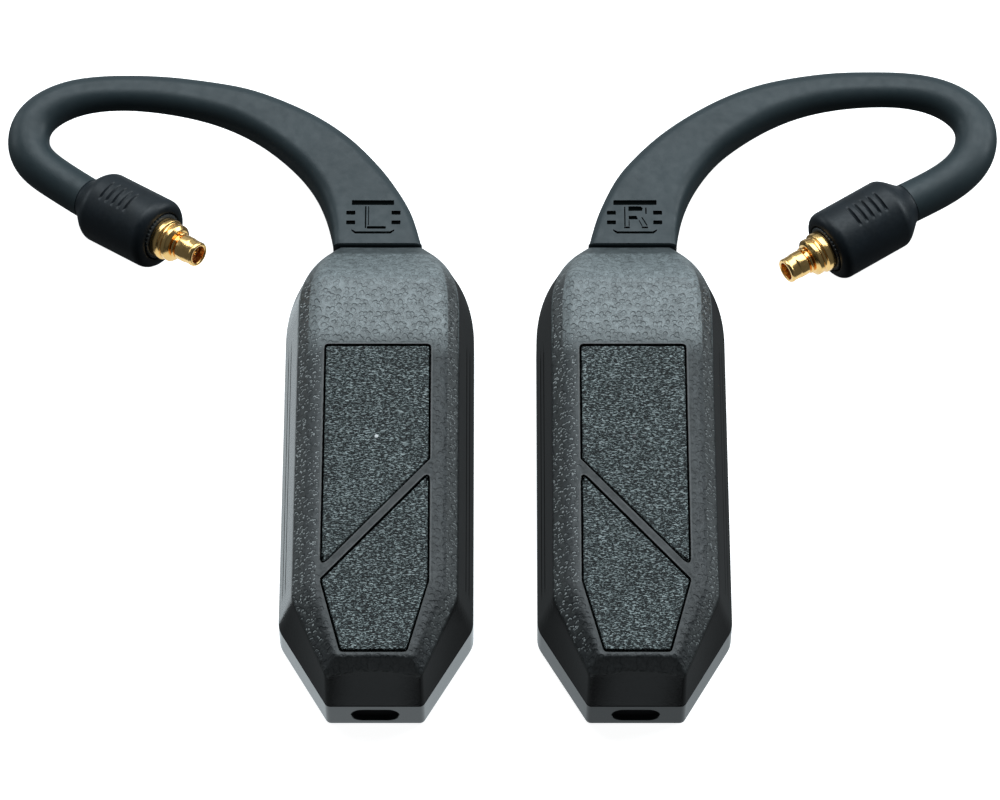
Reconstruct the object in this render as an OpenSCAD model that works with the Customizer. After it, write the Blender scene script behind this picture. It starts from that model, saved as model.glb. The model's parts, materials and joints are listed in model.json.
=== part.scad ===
// A pair of over-ear wireless receiver pods with moulded ear hooks for in-ear monitors.
// Both pods lie on their backs: front face up, hooks towards +Y, +Z up, millimetres.
// Every part is drawn in the left pod's own frame: x across the pod, y from its port end
// to its hook end, z up from its back. The right pod is the mirror image of the left one.

/* [Pod body] */
// Width across the widest edge
pod_w = 18; // [16:0.1:20]
// Length from the port end to the neck
pod_len = 48; // [44:0.1:52]
// Thickness from the back to the front face
pod_h = 11; // [10:0.1:12]
// Height of the upright lower wall
edge_z = 3.8; // [3.4:0.1:4.4]
// Height of the crease where the textured front begins
crease_z = 9.2; // [8.6:0.1:9.6]
// How far the smooth side leans in between the wall and the crease
side_lean = 1.6; // [1:0.1:2]
// Width of the textured bevel between the crease and the front face
bevel_w = 1.8; // [1.2:0.1:2.2]
// Width of the flat port end
end_w = 8.8; // [8:0.1:10]
// Distance from the port end to the corners where the sides become straight
taper_y = 7.9; // [7:0.1:9]
// Distance from the port end to the start of the rounded shoulders
shoulder_y = 38.6; // [37:0.1:40]
// Width of the neck under the hook
neck_w = 8.8; // [8.4:0.1:9.4]
// Height of the neck's upper edge
neck_z = 6.1; // [5.8:0.1:6.6]
// Wall thickness of the shells
wall = 0.9; // [0.8:0.05:1.1]
// Height of the parting line between the two shells
split_z = 3.9; // [3.9:0.1:4.6]

/* [Front panels] */
// Half of the panels' width
panel_hw = 5; // [4.8:0.05:5.2]
// Upper edge of the upper panel
panel_top_y = 34.3; // [33.5:0.1:35]
// Lower edge of the lower panel
panel_low_y = 2.1; // [2.1:0.1:2.6]
// Where the upper panel's diagonal meets its right side
diagonal_y = 22; // [21.5:0.1:23.5]
// Drop of the diagonal across the panel
diagonal_drop = 11.4; // [10.5:0.1:12]
// Width of the diagonal bar, measured along y
bar_y = 1.2; // [1.2:0.1:2]
// Depth of the panel recesses
recess_d = 0.5; // [0.4:0.05:0.6]
// Groove around each panel
panel_gap = 0.12; // [0.08:0.01:0.2]
// Corner radius of the recesses
panel_r = 0.45; // [0.3:0.05:0.6]
// Distance from the port end to the indicator light
light_y = 24.4; // [24:0.1:25]

/* [Port and contacts] */
// Width of the oval microphone port
port_w = 4.4; // [3.6:0.1:5]
// Height of the oval microphone port
port_h = 2.1; // [1.8:0.1:2.2]
// Height of the port's centre
port_z = 2.1; // [2.1:0.05:2.3]
// Distance between the two charging pads
pad_pitch = 4; // [3:0.1:6]
// Radius of a charging pad
pad_r = 0.9; // [0.7:0.05:1.1]

/* [Hook] */
// Width of the flat hook base
hook_base_w = 8.5; // [8:0.1:8.8]
// Height of the hook base
hook_base_h = 4.8; // [4.4:0.1:5]
// Gap between the neck and the hook base
hook_gap = 0.35; // [0.3:0.05:0.5]
// Corner radius of the hook base
hook_base_r = 0.7; // [0.5:0.05:1]
// Radius at and below which the hook is fully round
round_r = 2.2; // [2.1:0.05:2.4]
// Depth of the side mark engraved in the hook base
mark_depth = 0.25; // [0.15:0.05:0.4]
// Radius of the cable's channel through the hook
channel_r = 0.8; // [0.7:0.05:1]
// Width of the hook's rigid tongue
tongue_w = 4.6; // [4:0.1:5]
// Thickness of the hook's rigid tongue
tongue_h = 2.2; // [2:0.1:2.4]
// Running clearance of the tongue in its socket
tongue_gap = 0.08; // [0.05:0.01:0.12]

/* [Connector plug] */
// Diameter of the plug housing
housing_d = 7; // [6.6:0.1:7.4]
// Length of the plug housing behind the plug, without its flare
housing_len = 8.6; // [8:0.1:9.4]
// Length of the flare from the hook to the housing
flare_len = 1.1; // [0.8:0.1:1.4]
// Diameter of the gold collar
collar_d = 3.6; // [3.4:0.1:3.8]
// Outer diameter of the contact barrel
barrel_d = 2.4; // [2.3:0.05:2.5]
// How far the plug stands out of the housing
plug_out = 5.2; // [4.8:0.1:5.4]

/* [Pair] */
// Distance between the centres of the two pods
pod_pitch = 23.9; // [23:0.1:30]
// Distance from the port ends back to the middle of the pair's length
pair_mid_y = 34.6; // [34:0.05:35]

/* [Hidden] */
$fn = 48;
sides = ["left", "right"];
pod_parts = ["back_shell", "front_shell", "upper_panel", "lower_panel", "light_pipe", "touch_film",
    "main_board", "radio_chip", "amp_chip", "antenna", "status_led", "battery", "microphone",
    "port_mesh", "charge_pad_a", "charge_pad_b", "dock_magnet", "hook_socket"];
hook_parts = ["ear_hook", "hook_tongue", "hook_pin_a", "hook_pin_b", "signal_cable",
    "plug_housing", "lock_ring", "plug_body", "snap_ring", "insulator", "centre_pin"];

// Pod body: one ring of points per level, from the back to the front face.
// Each level: height, height at the neck, y where it starts to fall to the neck,
// half width, half width of the port end, y of the port end, y of the taper corner,
// half width at the neck.
shoulder_steps = 10;
shoulder_in = 3.4;
back_fillet = 0.35;
body_levels = [
    [0, 0.8, 44, pod_w / 2 - back_fillet, end_w / 2 - 0.3, back_fillet, taper_y + 0.2, neck_w / 2 - 0.7],
    [back_fillet, 1.3, 44, pod_w / 2, end_w / 2, 0, taper_y, neck_w / 2 - 0.1],
    [edge_z, 3.8, 44, pod_w / 2, end_w / 2, 0, taper_y, neck_w / 2],
    [crease_z, 5.4, 41, pod_w / 2 - side_lean, end_w / 2, 0.7, taper_y + 0.5, neck_w / 2 - 0.15],
    [pod_h, neck_z, 42, pod_w / 2 - side_lean - bevel_w, 3.4, 1.8, taper_y + 1, neck_w / 2 - 0.6]];

// The cavity's levels follow the body's, one wall further in.
cavity_floor = 1;
cavity_levels = [
    [cavity_floor, 1.8, 43, pod_w / 2 - wall, end_w / 2 - 0.5, wall, taper_y + 0.3, neck_w / 2 - 1],
    [edge_z, 3.8, 44, pod_w / 2 - wall, end_w / 2 - 0.5, wall, taper_y + 0.3, neck_w / 2 - 0.8],
    [crease_z - 0.6, 4.8, 40, pod_w / 2 - side_lean - wall, 3.6, 1.6, taper_y + 0.9, neck_w / 2 - 1],
    [pod_h - 1, neck_z - 1, 41, pod_w / 2 - side_lean - bevel_w - 0.5, 2.9, 2.6, taper_y + 1.2,
        neck_w / 2 - 1.5]];

// Hook centrelines: x, y, z and half width, from the pod's neck to the plug housing.
hook_path_left = [
    [-0.3, 48.4, 3.8, 4.25], [-1, 51.5, 3.8, 3.9], [-2.6, 55.3, 3.9, 3.4], [-4.8, 58.6, 4, 3],
    [-7.6, 61.2, 4.2, 2.7], [-10.7, 63.3, 4.3, 2.4], [-14, 64.9, 4.4, 2.2], [-17.5, 65.9, 4.4, 2],
    [-21, 66.5, 4.5, 1.9], [-24.5, 66.8, 4.5, 1.8], [-28, 66.7, 4.5, 1.8], [-31.5, 65.9, 4.4, 1.9],
    [-34.5, 63.5, 4.2, 2], [-34.5, 59.7, 3.8, 2.05], [-31.5, 57.2, 3.6, 2]];
hook_path_right = [
    [-0.3, 48.4, 3.8, 4.25], [-0.9, 51.4, 3.8, 3.9], [-2.2, 55.2, 3.9, 3.5], [-4.5, 58.7, 4, 3],
    [-7.2, 61.4, 4.2, 2.6], [-10.3, 63.6, 4.3, 2.4], [-13.6, 65.3, 4.4, 2.2], [-17, 66.4, 4.4, 2],
    [-20.5, 67, 4.5, 1.9], [-24, 67.2, 4.5, 1.8], [-27.6, 67.1, 4.5, 1.8], [-31.2, 66.1, 4.5, 1.9],
    [-33.9, 63.6, 4.5, 2], [-34, 60, 4.5, 2.05], [-31.7, 56.8, 4.4, 2]];

// Tip of each plug and the direction it points in.
plug_tip_left = [-17, 46, 7.6];
plug_tip_right = [-14.6, 45.7, 5];
plug_aim_left = [0.772, -0.59, 0.237];
plug_aim_right = [0.832, -0.554, 0.031];

housing_back = flare_len + housing_len + plug_out;
hook_sub_steps = 2;
corner_steps = 4;
cable_sides = 8;
cable_r = channel_r - 0.1;
shank_len = 3;
hook_base_y = pod_len + hook_gap;
tongue_x = -0.3;
tongue_z = 3.7;
tongue_end = 51;
tongue_front = 44.2;
pin_r = 0.39;
pin_pitch = 2.4;
pin_out = 2;
board_z = 6.2;
board_t = 0.8;
light_r = 0.21;

function plug_tip(side) = side == "left" ? plug_tip_left : plug_tip_right;
function plug_aim(side) = unit(side == "left" ? plug_aim_left : plug_aim_right);
function hook_path(side) =
    let (rows = side == "left" ? hook_path_left : hook_path_right,
        back = plug_tip(side) - housing_back * plug_aim(side))
    concat(rows, [concat(back, 2), concat(back + 3 * plug_aim(side), 2)]);

function unit(v) = v / norm(v);
function clamp(v, low, high) = min(max(v, low), high);
function mix(a, b, f) = a + (b - a) * f;
function reverse(list) = [for (i = [len(list) - 1:-1:0]) list[i]];

// Catmull-Rom curve through the rows of a list, stopping one row before its end.
function spline_at(rows, i, t) =
    let (a = rows[max(i - 1, 0)], b = rows[i], c = rows[i + 1], d = rows[min(i + 2, len(rows) - 1)])
    0.5 * (2 * b + (c - a) * t + (2 * a - 5 * b + 4 * c - d) * t * t
        + (3 * b - 3 * c + d - a) * t * t * t);
function smooth_path(rows) = concat(
    [for (i = [0:len(rows) - 3], k = [0:hook_sub_steps - 1]) spline_at(rows, i, k / hook_sub_steps)],
    [rows[len(rows) - 2]]);

// Height of a level at distance y from the port end.
function level_z(level, y) =
    y <= level[2] ? level[0] : mix(level[0], level[1], (y - level[2]) / (pod_len - level[2]));

// Right half of a level's outline: port end, taper corner, rounded shoulder.
function half_outline(level, neck_y) =
    let (hw = level[3], centre = shoulder_in * hw / (pod_w / 2),
        turn = acos((level[7] - centre) / (hw - centre)))
    concat(
        [[level[4], level[5]], [hw, level[6]]],
        [for (i = [0:shoulder_steps]) let (t = turn * i / shoulder_steps)
            [centre + (hw - centre) * cos(t), mix(shoulder_y, neck_y, sin(t) / sin(turn))]]);

// Closed body between stacked levels; every level has the same number of points.
module level_stack(levels, neck_y) {
    halves = [for (level = levels) half_outline(level, neck_y)];
    n = len(halves[0]);
    rings = [for (k = [0:len(levels) - 1]) concat(
        [for (p = halves[k]) [p.x, p.y, level_z(levels[k], p.y)]],
        [for (p = reverse(halves[k])) [-p.x, p.y, level_z(levels[k], p.y)]])];
    top = (len(levels) - 1) * 2 * n;
    polyhedron(
        points = [for (ring = rings) each ring],
        faces = concat(
            cap_faces(n, 0),
            ring_walls(len(levels), 2 * n),
            [for (face = cap_faces(n, top)) reverse(face)]),
        convexity = 4);
}

// Triangles across a mirrored ring of 2n points whose first index is given.
function cap_faces(n, first) = [for (j = [0:n - 2]) each [
    [first + j, first + j + 1, first + 2 * n - 2 - j],
    [first + j, first + 2 * n - 2 - j, first + 2 * n - 1 - j]]];

// Triangles between consecutive rings of n points each.
function ring_walls(ring_count, n) =
    [for (k = [0:ring_count - 2], j = [0:n - 1])
        let (a = k * n + j, b = k * n + (j + 1) % n)
        each [[a, a + n, b], [b, a + n, b + n]]];

// Direction of a path at row i; it leaves the pod along +Y and ends along end_aim.
function path_aim(path, i, end_aim) =
    i == 0 ? [0, 1, 0] : i == len(path) - 1 ? end_aim
        : unit([for (axis = [0:2]) path[i + 1][axis] - path[i - 1][axis]]);

// Rings of points around a path of [x, y, z, ...] rows; sections holds one outline per
// row, each a list of [across, up] points.
function sweep_rings(path, sections, end_aim) = [for (i = [0:len(path) - 1])
    let (p = path[i], t = path_aim(path, i, end_aim),
        across = unit(cross(t, [0, 0, 1])), up = cross(across, t))
    [for (q = sections[i]) [p.x, p.y, p.z] + across * q.x + up * q.y]];

module solid_sweep(path, sections, end_aim) {
    rings = sweep_rings(path, sections, end_aim);
    n = len(sections[0]);
    last = (len(path) - 1) * n;
    polyhedron(
        points = [for (ring = rings) each ring],
        faces = concat([[for (j = [0:n - 1]) j]], ring_walls(len(path), n),
            [[for (j = [n - 1:-1:0]) last + j]]),
        convexity = 6);
}

// Swept body with a channel right through it; both outlines have the same number of points.
module hollow_sweep(path, outlines, channels, end_aim) {
    n = len(outlines[0]);
    count = len(path);
    inner = count * n;
    last = (count - 1) * n;
    polyhedron(
        points = concat([for (ring = sweep_rings(path, outlines, end_aim)) each ring],
            [for (ring = sweep_rings(path, channels, end_aim)) each ring]),
        faces = concat(ring_walls(count, n),
            [for (face = ring_walls(count, n)) [for (k = reverse(face)) inner + k]],
            [for (j = [0:n - 1]) let (k = (j + 1) % n) each [
                [j, k, inner + j], [k, inner + k, inner + j],
                [last + k, last + j, inner + last + j], [last + k, inner + last + j, inner + last + k]]]),
        convexity = 8);
}

// Rounded rectangle of half width w, half height h and corner radius r.
function rounded_section(w, h, r) = [for (c = [0:3], s = [0:corner_steps - 1])
    let (a = 90 * c + 90 * (s + 0.5) / corner_steps,
        side_x = (c == 0 || c == 3 ? 1 : -1) * (w - r), side_y = (c < 2 ? 1 : -1) * (h - r))
    [side_x + r * cos(a), side_y + r * sin(a)]];

// The hook's section: flat and rounded at the base, a circle once it is thin enough.
function hook_section(w) =
    let (f = (hook_base_w / 2 - w) / (hook_base_w / 2 - round_r),
        h = min(w, mix(hook_base_h / 2, round_r, f)),
        r = clamp(mix(hook_base_r, round_r, f), hook_base_r, h))
    rounded_section(w, h, r);

function round_section(r, n) = [for (j = [0:n - 1]) r * [cos(360 * j / n), sin(360 * j / n)]];

// Children drawn in a pod's own frame, set down on its side of the pair.
module on_side(side) {
    flip = side == "right" ? 1 : 0;
    translate([(flip ? 1 : -1) * pod_pitch / 2, -pair_mid_y, 0])
        mirror([flip, 0, 0])
            children();
}

// Children drawn along +Z from the housing's back end, set down along the plug's axis.
module on_plug(side) {
    aim = plug_aim(side);
    translate(plug_tip(side) - housing_back * aim)
        rotate([0, acos(aim.z), atan2(aim.y, aim.x)])
            children();
}

// Box given by its lowest and highest corners.
module span(low, high) {
    translate(low)
        cube(high - low);
}

// Flat plate with rounded corners, centred on x, from y0 upwards.
module round_plate(w, y0, y1, z0, t, r) {
    span([-w / 2 + r, y0, z0], [w / 2 - r, y1, z0 + t]);
    span([-w / 2, y0 + r, z0], [w / 2, y1 - r, z0 + t]);
    for (x = [-w / 2 + r, w / 2 - r], y = [y0 + r, y1 - r])
        translate([x, y, z0])
            cylinder(r = r, h = t);
}

// Oval column across the port end, from y0 to y1.
module port_oval(w, h, y0, y1) {
    span([-(w - h) / 2, y0, port_z - h / 2], [(w - h) / 2, y1, port_z + h / 2]);
    for (x = [-(w - h) / 2, (w - h) / 2])
        translate([x, y0, port_z])
            rotate([-90, 0, 0])
                cylinder(r = h / 2, h = y1 - y0);
}

module upper_outline() {
    polygon([[-panel_hw, panel_top_y], [-panel_hw, diagonal_y - diagonal_drop],
        [panel_hw, diagonal_y], [panel_hw, panel_top_y]]);
}

module lower_outline() {
    polygon([[panel_hw, diagonal_y - bar_y], [panel_hw, 9.3], [3.3, panel_low_y], [-3.3, panel_low_y],
        [-panel_hw, diagonal_y - bar_y - diagonal_drop]]);
}

// Outline with rounded corners, drawn in by the groove's width.
module panel_shape(inset) {
    offset(r = panel_r - inset)
        offset(delta = -panel_r)
            children();
}

module pod_body() {
    level_stack(body_levels, pod_len);
}

module pod_cavity() {
    level_stack(cavity_levels, pod_len - wall);
}

// Opening through the neck for the hook's tongue.
module neck_opening() {
    span([tongue_x - tongue_w / 2 - 0.3, tongue_front, tongue_z - tongue_h / 2 - 0.2],
        [tongue_x + tongue_w / 2 + 0.3, pod_len + 1, tongue_z + tongue_h / 2 + 0.2]);
}

module back_shell() {
    post_r = 0.7;
    color("#3b4143")
    difference() {
        union() {
            difference() {
                intersection() {
                    pod_body();
                    span([-pod_w, -1, -1], [pod_w, pod_len + 1, split_z]);
                }
                pod_cavity();
            }
            for (x = [-5.4, 5.4], y = [8.8, 36.5])
                translate([x, y, cavity_floor - 0.3])
                    cylinder(r = post_r, h = board_z - cavity_floor + 0.3);
            span([-2.5, 42.5, cavity_floor - 0.3], [2.5, 45.5, 1.6]);
        }
        port_oval(port_w, port_h, -1, 3);
        neck_opening();
        for (x = [-1, 1])
            translate([x * pad_pitch / 2, 22, -1])
                cylinder(r = pad_r, h = 3);
    }
}

module front_shell() {
    color("#5a6466")
    difference() {
        intersection() {
            pod_body();
            span([-pod_w, -1, split_z], [pod_w, pod_len + 1, pod_h + 1]);
        }
        pod_cavity();
        neck_opening();
        translate([0, 0, pod_h - recess_d])
            linear_extrude(1)
                panel_shape(0)
                    upper_outline();
        translate([0, 0, pod_h - recess_d])
            linear_extrude(1)
                panel_shape(0)
                    lower_outline();
        translate([0, light_y, crease_z])
            cylinder(r = light_r + 0.02, h = 3);
    }
}

module upper_panel() {
    color("#2c3638")
    difference() {
        translate([0, 0, pod_h - recess_d])
            linear_extrude(recess_d - 0.03)
                panel_shape(panel_gap)
                    upper_outline();
        translate([0, light_y, crease_z])
            cylinder(r = light_r + 0.02, h = 3);
    }
}

module lower_panel() {
    color("#2c3638")
    translate([0, 0, pod_h - recess_d])
        linear_extrude(recess_d - 0.03)
            panel_shape(panel_gap)
                lower_outline();
}

module light_pipe() {
    foot_z = board_z + board_t + 0.65;
    color("white")
    translate([0, light_y, foot_z]) {
        cylinder(r = 0.6, h = 0.8);
        cylinder(r = light_r, h = pod_h - 0.02 - foot_z);
    }
}

module touch_film() {
    color("#b87333")
    difference() {
        span([-4, 10, pod_h - 1.12], [4, 38, pod_h - 1]);
        translate([0, light_y, crease_z])
            cylinder(r = light_r + 0.1, h = 3);
    }
}

module main_board() {
    color("#1d5138")
    round_plate(12.4, 8, 41, board_z, board_t, 1.2);
}

module radio_chip() {
    color("#1a1a1c")
    span([-2.5, 28, board_z + board_t], [2.5, 33, board_z + board_t + 0.9]);
}

module amp_chip() {
    color("#1a1a1c")
    span([-2, 14, board_z + board_t], [2, 18, board_z + board_t + 0.8]);
}

module antenna() {
    color("#d9d4c5")
    span([-4.5, 37.5, board_z + board_t], [4.5, 39, board_z + board_t + 0.5]);
}

module status_led() {
    color("#f2f2ea")
    span([-0.8, light_y - 0.4, board_z + board_t], [0.8, light_y + 0.4, board_z + board_t + 0.6]);
}

module battery() {
    color("#8e9498")
    round_plate(11, 10.5, 35, cavity_floor + 0.4, 4.2, 1);
}

module microphone() {
    color("#c0c0bb")
    span([-1.7, wall + 0.1, cavity_floor], [1.7, wall + 1.3, cavity_floor + 2]);
}

module port_mesh() {
    color("#0e0f10")
    port_oval(port_w, port_h, 0.5, 0.7);
}

module charge_pad(x) {
    color("#d8b45a")
    translate([x, 22, 0.05])
        cylinder(r = pad_r, h = cavity_floor + 0.25);
}

module charge_pad_a() {
    charge_pad(-pad_pitch / 2);
}

module charge_pad_b() {
    charge_pad(pad_pitch / 2);
}

module dock_magnet() {
    color("#a9adb0")
    translate([0, 38.5, cavity_floor])
        cylinder(r = 2.2, h = 1.4);
}

module hook_socket() {
    pocket = tongue_gap;
    color("#202427")
    difference() {
        span([tongue_x - 3, 41.6, 1.9], [tongue_x + 3, pod_len - wall - 0.05, 5.1]);
        span([tongue_x - tongue_w / 2 - pocket, tongue_front - 0.1, tongue_z - tongue_h / 2 - pocket],
            [tongue_x + tongue_w / 2 + pocket, pod_len, tongue_z + tongue_h / 2 + pocket]);
        for (x = [-1, 1])
            translate([tongue_x + x * pin_pitch / 2, 41, tongue_z])
                rotate([-90, 0, 0])
                    cylinder(r = pin_r + 0.06, h = 4);
    }
}

// Flat bar between two corners.
module bar(low, high) {
    translate(low)
        square(high - low);
}

// Plain capital L, or a plain capital R that reads the right way on the mirrored hook.
module side_letter(side) {
    stroke = 0.42;
    low_y = 50.1;
    high_y = 52.3;
    if (side == "left") {
        bar([-1.6, low_y], [-1.6 + stroke, high_y]);
        bar([-1.6, low_y], [0.3, low_y + stroke]);
    } else {
        bar([0.25 - stroke, low_y], [0.25, high_y]);
        bar([-1.4, high_y - stroke], [0.25, high_y]);
        bar([-1.4, 51], [0.25, 51 + stroke]);
        bar([-1.4, 51], [-1.4 + stroke, high_y]);
        polygon([[-0.5, 51.1], [-0.5 - stroke, 51.1], [-1.45 - stroke / 2, low_y], [-1.45 + stroke, low_y]]);
    }
}

// Side mark engraved in the hook base: the letter, a long bar above and below it and
// a short one on each side.
module side_mark(side) {
    translate([0, 0, tongue_z + 2.5 - mark_depth])
        linear_extrude(3) {
            side_letter(side);
            bar([-2.8, 52.8], [1.1, 53.25]);
            bar([-2.7, 49.4], [1.3, 49.85]);
            bar([-3.3, 51.1], [-2.4, 51.6]);
            bar([0.9, 51.1], [1.8, 51.6]);
        }
}

module ear_hook(side) {
    path = smooth_path(hook_path(side));
    color("#2b3437")
    difference() {
        hollow_sweep(path, [for (p = path) hook_section(p[3])],
            [for (p = path) rounded_section(channel_r, channel_r, channel_r)], plug_aim(side));
        span([tongue_x - tongue_w / 2, hook_base_y - 1, tongue_z - tongue_h / 2],
            [tongue_x + tongue_w / 2, tongue_end + 0.3, tongue_z + tongue_h / 2]);
        side_mark(side);
    }
}

module hook_tongue() {
    color("#17191b")
    difference() {
        span([tongue_x - tongue_w / 2, tongue_front, tongue_z - tongue_h / 2],
            [tongue_x + tongue_w / 2, tongue_end, tongue_z + tongue_h / 2]);
        for (x = [-1, 1])
            translate([tongue_x + x * pin_pitch / 2, tongue_front - 1, tongue_z])
                rotate([-90, 0, 0])
                    cylinder(r = pin_r, h = 3);
    }
}

module hook_pin(x) {
    color("#d8b45a")
    translate([x, tongue_front - pin_out, tongue_z])
        rotate([-90, 0, 0])
            cylinder(r = pin_r, h = pin_out + 2);
}

module hook_pin_a() {
    hook_pin(tongue_x - pin_pitch / 2);
}

module hook_pin_b() {
    hook_pin(tongue_x + pin_pitch / 2);
}

// Runs from the tongue's back end through the hook to the plug body's shank.
module signal_cable(side) {
    path = smooth_path(hook_path(side));
    end = plug_tip(side) - (plug_out + shank_len) * plug_aim(side);
    route = concat([for (i = [hook_sub_steps:len(path) - 1]) path[i]], [end]);
    color("#8a3b32")
    solid_sweep(route, [for (p = route) round_section(cable_r, cable_sides)], plug_aim(side));
}

module plug_housing(side) {
    end_z = flare_len + housing_len;
    r = housing_d / 2;
    shoulder_r = 1.5;
    front_r = 0.9;
    groove_count = 6;
    color("#1d2224")
    on_plug(side)
    difference() {
        rotate_extrude()
            polygon(concat(
                [[0, 0]],
                [for (t = [0:0.25:1]) [2 + 0.7 * t * t, flare_len * t]],
                [for (a = [-60:15:0]) [r - shoulder_r + shoulder_r * cos(a),
                    flare_len + shoulder_r * (sin(a) + 1)]],
                [for (a = [0:15:90]) [r - front_r + front_r * cos(a), end_z - front_r + front_r * sin(a)]],
                [[0, end_z]]));
        translate([0, 0, end_z - 0.9])
            cylinder(r = 2.45, h = 2);
        translate([0, 0, flare_len + 2])
            cylinder(r = 1.2, h = end_z);
        translate([0, 0, -1])
            cylinder(r = channel_r, h = end_z);
        for (i = [0:groove_count - 1])
            translate([-r - 0.05, -1.3, flare_len + 2 + 0.75 * i])
                cube([0.3, 2.6, 0.32]);
    }
}

module lock_ring(side) {
    teeth = 30;
    root_r = 2.15;
    tip_r = 2.32;
    color("#101214")
    on_plug(side)
    translate([0, 0, flare_len + housing_len - 0.9])
        difference() {
            linear_extrude(1)
                polygon([for (i = [0:2 * teeth - 1])
                    let (a = 180 * i / teeth, tooth_r = i % 2 == 0 ? root_r : tip_r)
                    [tooth_r * cos(a), tooth_r * sin(a)]]);
            translate([0, 0, -1])
                cylinder(r = collar_d / 2 - 0.15, h = 3);
        }
}

module plug_body(side) {
    front = flare_len + housing_len;
    tip = housing_back;
    shank_r = 1;
    neck_r = 0.95;
    collar_r = collar_d / 2;
    barrel_r = barrel_d / 2;
    bore_r = 0.85;
    rim = 0.12;
    color("#d9a441")
    on_plug(side)
    rotate_extrude()
        polygon([[0, front - shank_len], [shank_r, front - shank_len], [shank_r, front - 0.9],
            [collar_r - 0.15, front - 0.9], [collar_r - 0.15, front + 0.1], [collar_r, front + 0.2],
            [collar_r, front + 1],
            [collar_r - 0.25, front + 1.1], [collar_r - 0.25, front + 1.35],
            [collar_r - 0.05, front + 1.45], [collar_r - 0.05, front + 2],
            [collar_r - 0.45, front + 2.15], [neck_r, front + 2.2], [neck_r, front + 2.6],
            [barrel_r, front + 2.7], [barrel_r, tip - rim], [barrel_r - rim, tip], [bore_r, tip],
            [bore_r, front + 2.8], [0, front + 2.8]]);
}

module snap_ring(side) {
    color("#e0b45a")
    on_plug(side)
    translate([0, 0, flare_len + housing_len + 2.25])
        rotate_extrude(angle = 330)
            translate([1.05, 0])
                square([0.35, 0.3]);
}

module insulator(side) {
    base = flare_len + housing_len + 2.8;
    color("#c9713a")
    on_plug(side)
    translate([0, 0, base])
        difference() {
            cylinder(r = 0.85, h = 1.2);
            cylinder(r = 0.2, h = 3, center = true);
        }
}

module centre_pin(side) {
    base = flare_len + housing_len + 2.8;
    color("#e0b45a")
    on_plug(side)
    translate([0, 0, base])
        cylinder(r = 0.2, h = housing_back - base - 0.35);
}

for (s = sides) {
    on_side(s) back_shell();
    on_side(s) front_shell();
    on_side(s) upper_panel();
    on_side(s) lower_panel();
    on_side(s) light_pipe();
    on_side(s) touch_film();
    on_side(s) main_board();
    on_side(s) radio_chip();
    on_side(s) amp_chip();
    on_side(s) antenna();
    on_side(s) status_led();
    on_side(s) battery();
    on_side(s) microphone();
    on_side(s) port_mesh();
    on_side(s) charge_pad_a();
    on_side(s) charge_pad_b();
    on_side(s) dock_magnet();
    on_side(s) hook_socket();
    on_side(s) ear_hook(s);
    on_side(s) hook_tongue();
    on_side(s) hook_pin_a();
    on_side(s) hook_pin_b();
    on_side(s) signal_cable(s);
    on_side(s) plug_housing(s);
    on_side(s) lock_ring(s);
    on_side(s) plug_body(s);
    on_side(s) snap_ring(s);
    on_side(s) insulator(s);
    on_side(s) centre_pin(s);
}
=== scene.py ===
import json
import math
from collections import namedtuple

import bmesh
import bpy
import numpy as np
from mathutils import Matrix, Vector


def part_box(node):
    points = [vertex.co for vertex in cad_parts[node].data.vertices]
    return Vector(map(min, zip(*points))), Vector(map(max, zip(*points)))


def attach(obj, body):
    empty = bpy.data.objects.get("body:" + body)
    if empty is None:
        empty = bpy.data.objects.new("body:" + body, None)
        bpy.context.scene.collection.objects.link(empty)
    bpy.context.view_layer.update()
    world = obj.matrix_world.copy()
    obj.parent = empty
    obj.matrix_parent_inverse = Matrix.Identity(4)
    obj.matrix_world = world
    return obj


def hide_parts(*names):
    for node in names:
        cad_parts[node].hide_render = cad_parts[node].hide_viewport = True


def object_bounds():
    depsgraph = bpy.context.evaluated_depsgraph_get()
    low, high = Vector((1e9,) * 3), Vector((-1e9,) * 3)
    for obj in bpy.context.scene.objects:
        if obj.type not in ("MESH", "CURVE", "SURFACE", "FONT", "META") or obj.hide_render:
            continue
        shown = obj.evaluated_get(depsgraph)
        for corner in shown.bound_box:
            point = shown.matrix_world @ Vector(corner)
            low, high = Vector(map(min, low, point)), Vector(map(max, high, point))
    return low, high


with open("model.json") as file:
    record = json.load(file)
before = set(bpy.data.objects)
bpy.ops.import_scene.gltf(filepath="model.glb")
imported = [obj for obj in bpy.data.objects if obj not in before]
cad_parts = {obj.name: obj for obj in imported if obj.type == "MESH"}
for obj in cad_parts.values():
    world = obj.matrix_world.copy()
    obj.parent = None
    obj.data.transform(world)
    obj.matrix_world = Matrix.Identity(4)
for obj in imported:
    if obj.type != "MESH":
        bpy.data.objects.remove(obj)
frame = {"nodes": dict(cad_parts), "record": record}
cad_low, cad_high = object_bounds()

# A pair of wireless ear-hook receivers for in-ear monitors. Shapes are drawn in each pod's own
# frame in millimetres: x across the pod, y from its port end to its hook end, z up from its
# back. The right pod mirrors the left one. place() sets points down in the shared frame.

MM = 0.001
SIDES = ("left", "right")
MOUNTS = {mount["name"]: mount for mount in frame["record"]["mounts"]}

# ---------------------------------------------------------------- sizes of the pod, in mm

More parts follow.
